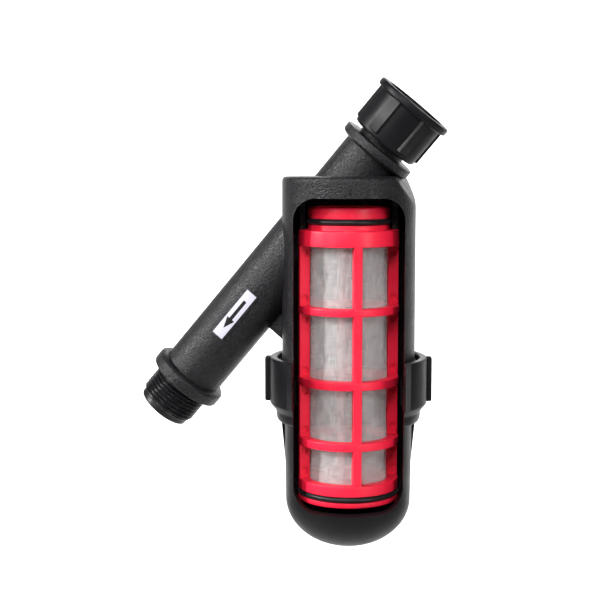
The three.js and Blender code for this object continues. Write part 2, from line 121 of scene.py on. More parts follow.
# The ring nut: a grip on the chamber's thread, over a skirt whose ledge carries the bowl's
# flange.
RING_PITCH = 4.0
CHAMBER_RIDGE = 2.3
RING_RIDGE = 1.9
RING_BORE = CHAMBER_R + 2.7
GRIP_R = RING_BORE + 4.2
LIP_BORE = 38.0
SKIRT_R = 40.4
GRIP_LOW = RING_TOP - 25.6
FLANGE_TOP = CHAMBER_END - REST_GAP
FLANGE_LOW = FLANGE_TOP - 5
LEDGE_TOP = FLANGE_LOW - REST_GAP
SKIRT_LOW = ring_low[2]

# The bowl, whose spigot stands in the chamber's lower end.
BOWL_TOP_R = 35.8
BOWL_FOOT_R = 35.0
BOWL_WALL = 3.0
BOWL_END = span("bowl")[0][2]
FLANGE_R = RING_BORE - THREAD_GAP
SPIGOT_R = CHAMBER_BORE - REST_GAP
SPIGOT_HEIGHT = 9.0

# The union nut, held on the pipe's neck by a snap ring. Its pads are set out from the middle
# of a mould half.
NUT_BACK = INLET_REACH - 27.3
NUT_SHOULDER = NUT_BACK + 3.5
NUT_ROOT = THREAD_R + THREAD_GAP
NUT_R = NUT_ROOT + 3.2
NUT_RIM_R = NUT_R + 2.8
NUT_MOULD_MIDDLE = 11 * DEGREE
SNAP_RING = 2.2
NECK_LIP = 2.8
NECK_END = NUT_SHOULDER + REST_GAP + SNAP_RING + REST_GAP + NECK_LIP
GASKET_R = 15.0
GASKET = 3.0

# ---- points, skins and meshes --------------------------------------------------------------


def turn_z(angle):
    """The turn about Z that brings -Y towards +X by an angle."""
    c, s = math.cos(angle), math.sin(angle)
    return np.array([[c, -s, 0], [s, c, 0], [0, 0, 1]])


def turn_y(angle):
    """The turn about Y that brings +Z towards +X by an angle."""
    c, s = math.cos(angle), math.sin(angle)
    return np.array([[c, 0, s], [0, 1, 0], [-s, 0, c]])


PIPE = turn_y(PIPE_TILT)
WINDOW = turn_z(FACING)


def placed(skin, turn=None, shift=(0, 0, 0)):
    """A skin turned, then shifted."""
    points, triangles = skin
    if turn is not None:
        points = points @ turn.T
    return points + np.array(shift), triangles


def together(*skins):
    """Several separate skins as one."""
    starts = np.cumsum([0] + [len(s[0]) for s in skins[:-1]])
    points = np.concatenate([s[0] for s in skins])
    return points, np.concatenate([s[1] + start for s, start in zip(skins, starts)])


def four_round(skin, start):
    """A skin repeated at four quarter turns about Z, the first at an angle."""
    return together(*(placed(skin, turn_z(start + i * QUARTER)) for i in range(4)))


def skin_of(grid, closed_rows):
    """Two triangles for each cell of a grid of points. Columns wrap round; rows may too.
    Equal points become one, and triangles that shrink to a line are left out, so poles and
    seams are closed. The sign of the enclosed volume says which way the faces point."""
    rows, columns = grid.shape[:2]
    last = rows if closed_rows else rows - 1
    i, j = np.meshgrid(np.arange(last), np.arange(columns), indexing="ij")
    a, b = i * columns + j, i * columns + (j + 1) % columns
    c, d = (i + 1) % rows * columns + (j + 1) % columns, (i + 1) % rows * columns + j
    halves = [np.stack(t, -1).reshape(-1, 3) for t in ((a, b, c), (a, c, d))]
    points, triangles = grid.reshape(-1, 3), np.concatenate(halves)
    keys = np.round(points * 2e4).astype(np.int64)
    _, first, index = np.unique(keys, axis=0, return_index=True, return_inverse=True)
    points, triangles = points[first], index.reshape(-1)[triangles]
    p, q, r = triangles.T
    triangles = triangles[(p != q) & (q != r) & (r != p)]
    x, y, z = points[triangles].transpose(1, 0, 2)
    if (x * np.cross(y, z)).sum() < 0:
        triangles = triangles[:, ::-1]
    return points, triangles


def lofted(sections):
    """A closed skin through loops of points, one loop a row, with a fan over each end."""
    first = np.broadcast_to(sections[0].mean(0), sections[0].shape)
    last = np.broadcast_to(sections[-1].mean(0), sections[-1].shape)
    return skin_of(np.concatenate([first[None], sections, last[None]]), False)


def run(start, end, spacing):
    """Evenly spaced sharp corners from one (radius, height) to another."""
    start, end = np.array(start, float), np.array(end, float)
    count = max(2, int(np.linalg.norm(end - start) / spacing) + 1)
    return [(*p, 0) for p in np.linspace(start, end, count)]


def outline(corners, steps=6):
    """A closed outline through corners (radius, height, softness). A soft corner is a short
    parabola that touches both sides at the softness's distance from the corner."""
    places = np.array([c[:2] for c in corners], float)
    before, after = np.roll(places, 1, 0) - places, np.roll(places, -1, 0) - places
    s = np.linspace(0, 1, steps)[:, None]
    line = []
    for place, back, on, (_, _, softness) in zip(places, before, after, corners):
        if not softness:
            line.append(place[None])
            continue
        a = place + back / np.linalg.norm(back) * softness
        b = place + on / np.linalg.norm(on) * softness
        line.append((1 - s) ** 2 * a + 2 * s * (1 - s) * place + s**2 * b)
    return np.concatenate(line)


def revolved(corners, columns=200, ridge=None):
    """A solid of revolution about Z. The point of the outline (r, z) at angle a, from -Y
    towards +X, is (r sin a, -r cos a, z); a ridge adds its own height to r."""
    line = outline(corners)
    a = np.linspace(0, TAU, columns, endpoint=False)[None, :]
    r, z = (np.repeat(v[:, None], columns, 1) for v in line.T)
    if ridge:
        r = r + ridge(r, a, z)
    return skin_of(np.stack([r * np.sin(a), -r * np.cos(a), z], -1), True)


def helix(root, depth, pitch, low, high):
    """The height of a thread on a bore or bar of radius root. The phase is z / pitch less
    a / turn; the ridge is a trapezium over one pitch, run in and out over half a pitch."""

    def ridge(r, a, z):
        phase = (z / pitch - a / TAU) % 1
        shape = np.clip(1.28 * (1 - np.abs(2 * phase - 1)) - 0.12, 0, 1)
        inside = np.clip((z - low) / pitch * 2, 0, 1) * np.clip((high - z) / pitch * 2, 0, 1)
        return depth * shape * inside * (np.abs(r - root) < 0.01)

    return ridge


def bar(radius, low, high, columns=96):
    """A plain round bar about Z."""
    return revolved([(0, low, 0), (radius, low, 0), (radius, high, 0), (0, high, 0)], columns)


def rounded_rectangle(width, depth, radius, steps=6):
    """A loop of points: four quarter circles joined by straight sides."""
    radius = max(radius, 1e-3)
    a = np.linspace(0, math.pi / 2, steps)
    x = width / 2 - radius + radius * np.cos(a)
    y = depth / 2 - radius + radius * np.sin(a)
    quarters = [(x, y), (-x[::-1], y[::-1]), (-x, -y), (x[::-1], -y[::-1])]
    return np.concatenate([np.stack(q, -1) for q in quarters])


def at_height(loop, z):
    """A flat loop of points, lifted to a height."""
    return np.concatenate([loop, np.full((len(loop), 1), z)], 1)


def front_loop(loop, y):
    """A loop of (x, z) points, stood upright at a depth y."""
    return np.stack([loop[:, 0], np.full(len(loop), y), loop[:, 1]], -1)


def soft_block(width, depth, height, soft):
    """A block centred on the origin whose edges and corners are all rounded: each section is
    a rounded rectangle, drawn in at both ends along a quarter circle."""
    a = np.linspace(0, math.pi / 2, 5)
    inset, rise = soft * (1 - np.sin(a)), soft * (1 - np.cos(a))
    low = [
        at_height(rounded_rectangle(width - 2 * i, depth - 2 * i, soft - i), r - height / 2)
        for i, r in zip(inset, rise)
    ]
    high = [loop * np.array([1, 1, -1]) for loop in low[::-1]]
    return lofted(np.array(low + high))


def flattened(skin, at, normal, soft):
    """Presses a skin flat against a plane. A point's height d over the plane becomes
    d - soft ln(1 + e^(d / soft)), which leaves a soft edge."""
    points, triangles = skin
    normal = np.array(normal) / np.linalg.norm(normal)
    height = (points - np.array(at)) @ normal
    shift = soft * np.logaddexp(0, height / soft)
    return points - shift[:, None] * normal, triangles


def solid(name, skin):
    """An object whose mesh is a skin, in metres."""
    mesh = bpy.data.meshes.new(name)
    mesh.from_pydata(skin[0] * MM, [], skin[1].tolist())
    made = bpy.data.objects.new(name, mesh)
    bpy.context.scene.collection.objects.link(made)
    return made


def combine(base, skin, operation):
    """Joins a skin to an object's mesh, or cuts it away."""
    tool = solid("tool", skin)
    step = base.modifiers.new("combine", "BOOLEAN")
    step.operation = operation
    step.solver = "MANIFOLD"
    step.object = tool
    bpy.context.view_layer.update()
    view = base.evaluated_get(bpy.context.evaluated_depsgraph_get())
    mesh = bpy.data.meshes.new_from_object(view)
    base.modifiers.clear()
    base.data = mesh
    bpy.data.objects.remove(tool)


def join(base, skin):
    """Grows an object by a skin."""
    combine(base, skin, "UNION")


def cut(base, skin):
    """Takes a skin's inside away from an object."""
    combine(base, skin, "DIFFERENCE")


def finish(made, material, body, replaced, crease=32):
    """Smooth shading with sharp creases, a material, a body to ride on and a CAD node to
    stand for. Edges sharper than the crease's angle, in degrees, stay sharp."""
    made.data.shade_smooth()
    made.data.set_sharp_from_angle(angle=crease * DEGREE)
    made.data.materials.clear()
    made.data.materials.append(material)
    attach(made, body)
    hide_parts(replaced)


# ---- finishes ------------------------------------------------------------------------------


def linear(code):
    """An sRGB hex colour as linear red, green, blue and alpha."""
    s = np.array([int(code[i : i + 2], 16) / 255 for i in (0, 2, 4)])
    flat = np.where(s <= 0.04045, s / 12.92, ((s + 0.055) / 1.055) ** 2.4)
    return (*flat.tolist(), 1.0)


def add(tree, kind, settings=None, **inputs):
    """Adds a node, sets its properties, and fills or links its inputs by name or number."""
    made = tree.nodes.new(kind)
    for key, value in (settings or {}).items():
        setattr(made, key, value)
    for key, value in inputs.items():
        socket = made.inputs[int(key[1:]) if key[0] == "_" else key.replace("_", " ")]
        if isinstance(value, bpy.types.NodeSocket):
            tree.links.new(value, socket)
        else:
            socket.default_value = value
    return made


def surface(name, colour, roughness, ior=1.5, **fixed):
    """A new material and its shader, with constants set on the shader's own sockets."""
    made = bpy.data.materials.new(name)
    made.use_nodes = True
    shader = made.node_tree.nodes["Principled BSDF"]
    shader.inputs["Base Color"].default_value = linear(colour)
    shader.inputs["Roughness"].default_value = roughness
    shader.inputs["IOR"].default_value = ior
    for key, value in fixed.items():
        shader.inputs[key.replace("_", " ")].default_value = value
    return made, made.node_tree, shader


def object_place(tree):
    """The point on the object, in metres, so that patterns stay put when a piece moves."""
    return add(tree, "ShaderNodeTexCoord").outputs["Object"]


def grain(tree, place, size_mm, detail=2.0, roughness=0.6):
    """Noise whose features are about this many millimetres across."""
    return add(
        tree, "ShaderNodeTexNoise", None, Vector=place, Scale=1 / (size_mm * MM),
        Detail=detail, Roughness=roughness,
    ).outputs["Fac"]


def between(tree, value, low, high, to_low, to_high):
    """Maps a value's range to another range, clamped."""
    names = ("Value", "From_Min", "From_Max", "To_Min", "To_Max")
    return add(
        tree, "ShaderNodeMapRange", None, **dict(zip(names, (value, low, high, to_low, to_high)))
    ).outputs["Result"]


def two_tone(tree, factor, dark, light):
    """Blends from one colour to another."""
    ramp = add(tree, "ShaderNodeValToRGB", None, Fac=factor)
    ramp.color_ramp.elements[0].color = linear(dark)
    ramp.color_ramp.elements[1].color = linear(light)
    return ramp.outputs["Color"]


def raise_skin(tree, shader, height, strength, depth_mm):
    """Bump: a height of 1 stands this many millimetres over a height of 0."""
    bump = add(
        tree, "ShaderNodeBump", None, Strength=strength, Distance=depth_mm * MM, Height=height,
    )
    tree.links.new(bump.outputs["Normal"], shader.inputs["Normal"])


def spark_eroded_polypropylene():
    """Black polypropylene moulded in a spark-eroded cavity: a fine pitted grain that breaks
    the gloss into small glints. The grain is about 0.25 mm; it is drawn at 1 mm to show. The
    outlet's thread was cut in the mould after eroding, so it is smooth and its crests shine."""
    made, tree, shader = surface(
        "spark_eroded_polypropylene", "121113", 0.36, Specular_IOR_Level=0.3,
    )
    place = object_place(tree)
    pits_and_painted_glints = between(tree, grain(tree, place, 1.0), 0.38, 0.64, 0, 1)
    clouds = grain(tree, place, 22, 3.0, 0.5)
    # Painted glints: the grain's high spots are coloured lighter, so they read as small glints
    # whatever the light; the rest of the blend is the plastic's own random tone.
    tree.links.new(two_tone(tree, pits_and_painted_glints, "060506", "211f22"), shader.inputs["Base Color"])
    tree.links.new(between(tree, clouds, 0.3, 0.7, 0.3, 0.4), shader.inputs["Roughness"])
    along = add(
        tree, "ShaderNodeVectorMath", {"operation": "DOT_PRODUCT"}, _0=place, _1=PIPE[:, 2],
    ).outputs["Value"]
    thread_end = (OUTLET_THREAD - OUTLET_REACH) * MM
    rough = between(tree, along, thread_end - 0.5 * MM, thread_end, 0.05, 0.7)
    raise_skin(tree, shader, pits_and_painted_glints, rough, 0.25)
    return made


def polished_mould_polypropylene():
    """Black polypropylene from a smoother cavity: an even satin with faint rubbed patches."""
    made, tree, shader = surface(
        "polished_mould_polypropylene", "121113", 0.34, Specular_IOR_Level=0.13,
    )
    place = object_place(tree)
    clouds = grain(tree, place, 14, 4.0, 0.6)
    skin = grain(tree, place, 1.4, 2.0, 0.5)
    tree.links.new(two_tone(tree, clouds, "0f0e10", "171618"), shader.inputs["Base Color"])
    tree.links.new(between(tree, clouds, 0.3, 0.7, 0.32, 0.44), shader.inputs["Roughness"])
    raise_skin(tree, shader, skin, 0.25, 0.08)
    return made


def red_polypropylene():
    """Red polypropylene, moulded: light enters a little way, so edges glow, and the skin
    has a faint flow pattern."""
    made, tree, shader = surface(
        "red_moulded_polypropylene", "e8203f", 0.42, Specular_IOR_Level=0.32,
        Subsurface_Weight=0.12, Subsurface_Scale=1.0,
        Subsurface_Radius=(2.0 * MM, 0.5 * MM, 0.5 * MM),
    )
    place = object_place(tree)
    flow = grain(tree, place, 16, 3.0, 0.6)
    skin = grain(tree, place, 1.2, 2.0, 0.5)
    tree.links.new(two_tone(tree, flow, "dc1431", "ee2444"), shader.inputs["Base Color"])
    tree.links.new(between(tree, flow, 0.3, 0.7, 0.34, 0.46), shader.inputs["Roughness"])
    raise_skin(tree, shader, skin, 0.2, 0.08)
    return made


def nitrile_rubber():
    """Black nitrile rubber, moulded and lightly greased: soft gloss over a fine haze."""
    made, tree, shader = surface(
        "nitrile_rubber", "111012", 0.42, 1.52, Sheen_Weight=0.05, Specular_IOR_Level=0.3,
    )
    place = object_place(tree)
    haze = grain(tree, place, 3, 4.0, 0.6)
    tree.links.new(between(tree, haze, 0.3, 0.7, 0.34, 0.52), shader.inputs["Roughness"])
    tree.links.new(two_tone(tree, haze, "080708", "111012"), shader.inputs["Base Color"])
    return made


def woven_polyester():
    """Fine polyester screen cloth, plain weave, 0.2 mm from thread to thread: too fine to see,
    so it shows as a veil. Threads of uneven thickness run through it as faint streaks 0.8 mm
    wide and 9 mm long, drawn coarser than life; the gaps between threads let light through,
    and the sheen of its fibres lightens it where it curves away."""
    made, tree, shader = surface(
        "woven_polyester_screen", "e6e3df", 0.8, Sheen_Weight=1.0, Sheen_Roughness=0.6,
        Specular_IOR_Level=0.2,
    )
    sheet = add(tree, "ShaderNodeUVMap", {"uv_map": "cloth"}).outputs["UV"]
    width, length = 0.8 * MM, 9 * MM
    streaks = []
    for size in ((width, length), (length, width)):
        along = add(
            tree, "ShaderNodeVectorMath", {"operation": "DIVIDE"}, _0=sheet, _1=(*size, 1),
        ).outputs["Vector"]
        streaks.append(add(
            tree, "ShaderNodeTexNoise", None, Vector=along, Scale=1.0, Detail=1.0,
        ).outputs["Fac"])
    both = add(tree, "ShaderNodeMath", {"operation": "ADD"}, _0=streaks[0], _1=streaks[1])
    weave = between(tree, both.outputs[0], 0.75, 1.25, 0.0, 1.0)
    tree.links.new(two_tone(tree, weave, "c9c7c6", "dfdddc"), shader.inputs["Base Color"])
    tree.links.new(between(tree, weave, 0, 1, 0.22, 0.29), shader.inputs["Alpha"])
    raise_skin(tree, shader, weave, 0.2, 0.1)
    return made


def printed_vinyl(start, neck, tip, bar_half, head_half):
    """White vinyl film with a black printed arrow: an even semi-gloss, ink a shade duller.
    The arrow is a bar from start to neck and a triangle that narrows from neck to tip."""
    made, tree, shader = surface("printed_vinyl_film", "bbb9c6", 0.4, Specular_IOR_Level=0.25)
    place = add(tree, "ShaderNodeUVMap", {"uv_map": "film"}).outputs["UV"]
    parts = add(tree, "ShaderNodeSeparateXYZ", None, Vector=place)
    along, across = parts.outputs["X"], parts.outputs["Y"]

    def maths(operation, a, b=0.0):
        return add(tree, "ShaderNodeMath", {"operation": operation}, _0=a, _1=b).outputs[0]

    def less(a, b):
        return maths("LESS_THAN", a, b)

    def both(a, b):
        return maths("MULTIPLY", a, b)

    side = maths("ABSOLUTE", across)
    past_start, past_bar = less(start * MM, along), less(neck * MM, along)
    on_bar = both(less(side, bar_half * MM), both(past_start, less(along, neck * MM)))
    slope = head_half / (tip - neck)
    reach = maths("MULTIPLY", maths("SUBTRACT", tip * MM, along), slope)
    ink = maths("MAXIMUM", on_bar, both(less(side, reach), past_bar))
    tree.links.new(two_tone(tree, ink, "bbb9c6", "0a0909"), shader.inputs["Base Color"])
    tree.links.new(between(tree, ink, 0, 1, 0.4, 0.5), shader.inputs["Roughness"])
    return made


BODY_FINISH = spark_eroded_polypropylene()
SATIN_FINISH = polished_mould_polypropylene()
RED_FINISH = red_polypropylene()
RUBBER_FINISH = nitrile_rubber()
SCREEN_FINISH = woven_polyester()

# ---- the window ----------------------------------------------------------------------------

WINDOW_HALF = CAGE_R + 2.1
WINDOW_TOP = CAGE_TOP + 5.4
WINDOW_LOW = CAGE_FOOT - 2.4
WINDOW_CORNER = 12.4


def window_skin():
    """A rounded rectangle pushed from the chamber's middle plane out through the front."""
    loop = rounded_rectangle(2 * WINDOW_HALF, WINDOW_TOP - WINDOW_LOW, WINDOW_CORNER, 24)
    middle = (WINDOW_TOP + WINDOW_LOW) / 2
    loop = loop + np.array([0, middle])
    return placed(lofted(np.array([front_loop(loop, y) for y in (0, -60)])), WINDOW)


# ---- filter body ---------------------------------------------------------------------------

COLLAR_FRONT = NUT_BACK - 3
COLLAR_BACK = COLLAR_FRONT - 5.6
COLLAR_R = PIPE_R + 4.5
WEB_THICKNESS = 4.0


def collar(radius, low, high, foot_low, foot_high):
    """Corners of a collar on the pipe: a bevel on its low side, a small round on its high."""
    return [
        (foot_low, low, 0.7), (radius - 1.7, low, 0.5), (radius, low + 1.3, 0.5),
        (radius, high, 0.5), (foot_high, high, 0.4),
    ]


def pipe_skin():
    """The pipe from its threaded outlet to the neck that the union nut turns on."""
    root = THREAD_R - THREAD_DEPTH
    end = -OUTLET_REACH
    thread_end = end + OUTLET_THREAD
    collar_end = thread_end + OUTLET_COLLAR
    collar_r = OUTLET_COLLAR_R
    corners = [
        (0, end, 0), (root, end, 0.8),
        *run((root, end + LEAD_IN - 0.8), (root, thread_end - 0.3), THREAD_PITCH / 11),
        (root, thread_end, 0), (collar_r, thread_end, 0.6),
        (collar_r, collar_end - 1.4, 0.5), (collar_r - 1.8, collar_end, 0.5),
        (PIPE_R, collar_end, 0.5),
        *collar(COLLAR_R, COLLAR_BACK, COLLAR_FRONT, PIPE_R, NECK_PIPE_R),
        (NECK_PIPE_R, NECK_END, 0.6), (0, NECK_END, 0),
    ]
    ridge = helix(root, THREAD_DEPTH, THREAD_PITCH, end + LEAD_IN, thread_end - 0.2)
    return placed(revolved(corners, 192, ridge), PIPE)


def chamber_skin():
    """The chamber, with its thread, a round shoulder and a slope pressed on its inlet side."""
    r, top = CHAMBER_R, CHAMBER_TOP
    thread_low, thread_high = CHAMBER_END + 1, CHAMBER_END + 21
    corners = [
        (0, CHAMBER_END, 0), (r, CHAMBER_END, 0.5),
        *run((r, thread_low), (r, thread_high), 0.4),
        *run((r, top - 44), (r, top - 3.2), 0.8),
        (r, top, 2.8),
        *run((r - 3, top), (6, top), 0.9),
        (0, top, 0),
    ]
    ridge = helix(r, CHAMBER_RIDGE, RING_PITCH, thread_low, thread_high)
    slope, soft = 60 * DEGREE, 0.55
    under_collar = PIPE @ np.array([COLLAR_R - 0.8, 0, COLLAR_BACK])
    normal = (math.sin(slope), 0, math.cos(slope))
    return flattened(revolved(corners, 256, ridge), under_collar, normal, soft)


def web_skin():
    """The web in the lower crotch: a thin triangle between pipe and chamber. Its lower edge
    leaves the pipe at a right angle and meets the chamber's wall at foot; its other two edges
    lie inside the pipe and the chamber."""
    sin, cos = math.sin(PIPE_TILT), math.cos(PIPE_TILT)
    foot = RING_TOP + 8.1
    reach = sin * CHAMBER_R - cos * foot
    edge = np.array([-sin * reach + cos * PIPE_R, -cos * reach - sin * PIPE_R])
    inset = 1.75
    wall = -CHAMBER_R + inset
    loop = np.array([
        [edge[0] - cos * inset, edge[1] + sin * inset],
        [wall, edge[1] - (wall - edge[0]) * sin / cos],
        [wall, wall * cos / sin],
    ])
    half = WEB_THICKNESS / 2
    return lofted(np.array([front_loop(loop, y) for y in (-half, half)]))


LABEL_REACH = 94.3
LABEL_LENGTH = 31.0
LABEL_WIDTH = 6.8
LABEL_TURN = -2 * DEGREE
POCKET_FLOOR = PIPE_R - 0.6
POCKET_SPARE = 1.9


def bent_plate(length, left, right, inner, outer, steps=24):
    """A plate bent round the pipe: each section, at its own angle, is a rectangle from the
    inner to the outer radius and from end to end."""
    a = np.linspace(left, right, steps) / PIPE_R + LABEL_TURN
    r = np.array([inner, outer, outer, inner])[None, :]
    z = np.array([-1, -1, 1, 1])[None, :] * length / 2 - LABEL_REACH
    a = a[:, None]
    grid = np.stack([r * np.sin(a), -r * np.cos(a), z + 0 * a], -1)
    return placed(lofted(grid), PIPE)


def body_shell():
    """Chamber, pipe and web in one, hollowed by the water ways, with the seat for the
    cartridge's neck inside, cut open by the window."""
    sin, cos = math.sin(PIPE_TILT), math.cos(PIPE_TILT)
    past_end = 1
    made = solid("body_shell", chamber_skin())
    join(made, pipe_skin())
    join(made, web_skin())
    cut(made, bar(CHAMBER_BORE, CHAMBER_END - past_end, HEAD_UNDER, 256))
    inlet_low = (HEAD_UNDER - sin * INLET_BORE) / cos - past_end
    cut(made, placed(bar(INLET_BORE, inlet_low, NECK_END + past_end), PIPE))
    outlet_start = -(CHAMBER_BORE - OUTLET_BORE / 2) / sin
    mouth = [
        (0, -OUTLET_REACH - past_end, 0), (OUTLET_BORE + 1.9, -OUTLET_REACH - past_end, 0),
        (OUTLET_BORE, -OUTLET_REACH + 0.9, 0.5), (OUTLET_BORE, outlet_start, 0),
        (0, outlet_start, 0),
    ]
    cut(made, placed(revolved(mouth, 96), PIPE))
    seat_low = CAGE_TOP - NECK_HEIGHT + REST_GAP
    seat = [
        (SEAT_BORE, seat_low, 0.6), (SEAT_BORE + 3, seat_low, 0.6),
        (SEAT_BORE + 3, HEAD_UNDER + 1, 0), (SEAT_BORE, HEAD_UNDER + 1, 0),
    ]
    join(made, revolved(seat, 160))
    cut(made, window_skin())
    length, half = LABEL_LENGTH + 2 * REST_GAP, LABEL_WIDTH / 2 + REST_GAP
    cut(made, bent_plate(length, -half, half + POCKET_SPARE, POCKET_FLOOR, PIPE_R + 1))
    finish(made, BODY_FINISH, "body", "filter_body")


# ---- union nut -----------------------------------------------------------------------------


def pad_skin(turn, side):
    """A grip pad on the nut. Its face is flat, raised on the side that looks to the mould's
    middle and run out to nothing on the other; side 0 is raised on both."""
    half, root = 2.8, -2
    if side == 0:
        loop = [
            (-half - 0.5, -0.5), (-half, 0.9), (half, 0.9), (half + 0.5, -0.5),
            (half, root), (-half, root),
        ]
    else:
        loop = [
            (-half - 1.1, -0.5), (-half - 0.1, 1.35), (half + 0.6, -0.05),
            (half, root), (-half, root), (-half - 1.1, root),
        ]
    across, out = (np.array(loop) * np.array([side or 1, 1])).T
    low, high = NUT_BACK + 2.8, INLET_REACH - 3
    rows = []
    for z, sink in ((low - 0.5, 1.5), (low, 0.12), (low + 0.2, 0), (high, 0)):
        rows.append(at_height(np.stack([across, -NUT_R - out + sink * (out > root)], -1), z))
    return placed(lofted(np.array(rows)), turn_z(turn))


def union_nut():
    """A swivel nut: a round wall with a soft back end, a rolled rim, a helical thread in its
    mouth and six grip pads."""
    lip = NECK_PIPE_R + REST_GAP
    flange = INLET_REACH - 4.2
    thread_low, thread_high = NECK_END + 3.9, INLET_REACH - 3
    corners = [
        (lip, NUT_BACK, 0.4), (NUT_R - 0.3, NUT_BACK, 1.9), (NUT_R, NUT_BACK + 6, 0),
        (NUT_R, flange, 0.8), (NUT_RIM_R, flange, 1.3), (NUT_RIM_R, INLET_REACH, 1.3),
        (NUT_ROOT + 1.1, INLET_REACH, 0.5), (NUT_ROOT, thread_high, 0),
        *run((NUT_ROOT, thread_high - 0.1), (NUT_ROOT, thread_low), THREAD_PITCH / 10),
        (NUT_ROOT, NUT_SHOULDER, 0.4), (lip, NUT_SHOULDER, 0.3),
    ]
    ridge = helix(NUT_ROOT, -THREAD_DEPTH, THREAD_PITCH, thread_low, thread_high - 0.2)
    made = solid("swivel_nut", revolved(corners, 160, ridge))
    pads = ((-30, -1), (30, 1), (90, 0), (150, -1), (210, 1), (270, 0))
    join(made, together(*(pad_skin(NUT_MOULD_MIDDLE + step * DEGREE, side) for step, side in pads)))
    made.data.transform(Matrix.Rotation(PIPE_TILT, 4, "Y"))
    finish(made, SATIN_FINISH, "union_nut", "inlet_union_nut")


def inlet_gasket():
    """A flat rubber washer with soft edges."""
    low = NECK_END + REST_GAP
    high = low + GASKET
    corners = [
        (INLET_BORE, low, 0.5), (GASKET_R, low, 0.5),
        (GASKET_R, high, 0.5), (INLET_BORE, high, 0.5),
    ]
    made = solid("gasket_washer", placed(revolved(corners, 96), PIPE))
    finish(made, RUBBER_FINISH, "body", "inlet_gasket")


# ---- ring nut ------------------------------------------------------------------------------


def ring_pad(turn, side):
    """A lug between the middle and the edge of a mould half: a step on the side that looks to
    the middle, and a flat face from there that runs out to nothing."""
    half, top, root = 3.2, 2.5, -2.5
    loop = [(-half - 0.2, -0.5), (-half, top), (half + 0.5, -0.1), (half, root), (-half, root)]
    across, out = (np.array(loop) * np.array([side, 1])).T
    low, high = GRIP_LOW + 0.2, RING_TOP - 0.2
    rows = []
    for z, sink in ((low, 0.7), (low + 0.5, 0), (high - 0.7, 0), (high, 0.9)):
        rows.append(at_height(np.stack([across, -GRIP_R - out + sink * (out > 0)], -1), z))
    return placed(lofted(np.array(rows)), turn_z(turn))


def ring_nut():
    """The nut that holds the bowl: a thick grip with eight lugs over a rounded skirt."""
    slope_low = GRIP_LOW - 4.3
    corners = [
        (LIP_BORE, SKIRT_LOW, 0.4), (SKIRT_R - 0.8, SKIRT_LOW, 1.6),
        (SKIRT_R, SKIRT_LOW + 3.4, 1.6), (SKIRT_R, slope_low, 0.9),
        (GRIP_R, GRIP_LOW, 0.8), (GRIP_R, RING_TOP, 1.5), (RING_BORE, RING_TOP, 1.3),
        *run((RING_BORE, RING_TOP - 3), (RING_BORE, CHAMBER_END), 0.4),
        (RING_BORE, LEDGE_TOP, 0), (LIP_BORE, LEDGE_TOP, 0.4),
    ]
    ridge = helix(RING_BORE, -RING_RIDGE, RING_PITCH, CHAMBER_END + 2, RING_TOP - 3.4)
    made = solid("ring_nut_shell", revolved(corners, 256, ridge))
    stand_out, sunk = 2.7, 2.1
    lug = soft_block(6.4, stand_out + sunk, RING_TOP - GRIP_LOW - 0.4, 1.2)
    middle = (0, -GRIP_R - (stand_out - sunk) / 2, (RING_TOP + GRIP_LOW) / 2)
    pads = [
        ring_pad(FACING + (i + 0.5) * QUARTER, side) for i, side in enumerate((1, -1, 1, -1))
    ]
    join(made, together(four_round(placed(lug, None, middle), FACING), *pads))
    cut(made, window_skin())
    finish(made, SATIN_FINISH, "ring", "ring_nut")


# ---- bowl ----------------------------------------------------------------------------------


def oval_end(radius, top, height, steps=40):
    """Half an oval, from its equator down to the axis, as sharp corners."""
    a = np.linspace(0, math.pi / 2, steps)
    return [(r, z, 0) for r, z in zip(radius * np.cos(a), top - height * np.sin(a))]


def fin_skin():
    """An upright fin that is deepest under the skirt and runs out down the wall: its
    sections stand on each other, and each is a narrow rounded rectangle."""
    high, tip, root, stand_out = FLANGE_LOW + 2, SKIRT_LOW - 26, 33, 1.7
    rows = []
    for z in np.linspace(tip, high, 40):
        share = np.clip((z - tip) / (SKIRT_LOW - tip), 0, 1)
        out = BOWL_FOOT_R + 0.1 + (BOWL_TOP_R + stand_out - BOWL_FOOT_R) * share
        loop = rounded_rectangle(2.4, out - root, 0.6) - np.array([0, (out + root) / 2])
        rows.append(at_height(loop, z))
    return lofted(np.array(rows))


def bowl():
    """The bowl: a slightly tapered wall with an oval bottom, a flange, and a spigot with a
    groove for its seal. Inside it narrows to a seat round the cartridge's foot."""
    dome_start = CAGE_FOOT
    height = dome_start - BOWL_END
    seat_top = FOOT_SEAL + 5
    seat_r = foot_seal_high[1] + REST_GAP
    spigot_top, spigot_bore = FLANGE_TOP + SPIGOT_HEIGHT, SPIGOT_R - 4
    groove_r = SPIGOT_R - 2.3
    groove_low, groove_high = FLANGE_TOP + 3.05, FLANGE_TOP + 5.95
    corners = [
        *oval_end(BOWL_FOOT_R, dome_start, height)[::-1],
        (BOWL_TOP_R, FLANGE_LOW, 0.5), (FLANGE_R, FLANGE_LOW, 0.4),
        (FLANGE_R, FLANGE_TOP, 0.6), (SPIGOT_R, FLANGE_TOP, 0.3),
        (SPIGOT_R, groove_low, 0.2), (groove_r, groove_low, 0.2),
        (groove_r, groove_high, 0.2), (SPIGOT_R, groove_high, 0.2),
        (SPIGOT_R, spigot_top, 0.7), (spigot_bore, spigot_top, 0.5),
        (spigot_bore, FLANGE_LOW, 0.8), (BOWL_TOP_R - BOWL_WALL, FLANGE_LOW - 3, 0.8),
        (BOWL_FOOT_R - BOWL_WALL, seat_top + 3, 0.8), (seat_r, seat_top, 0.5),
        *oval_end(seat_r, dome_start - BOWL_WALL, height - 2 * BOWL_WALL, 32),
    ]
    made = solid("bowl_shell", revolved(corners, 256))
    join(made, four_round(fin_skin(), FACING - QUARTER))
    cut(made, window_skin())
    finish(made, SATIN_FINISH, "bowl", "bowl")


# ---- cartridge -----------------------------------------------------------------------------


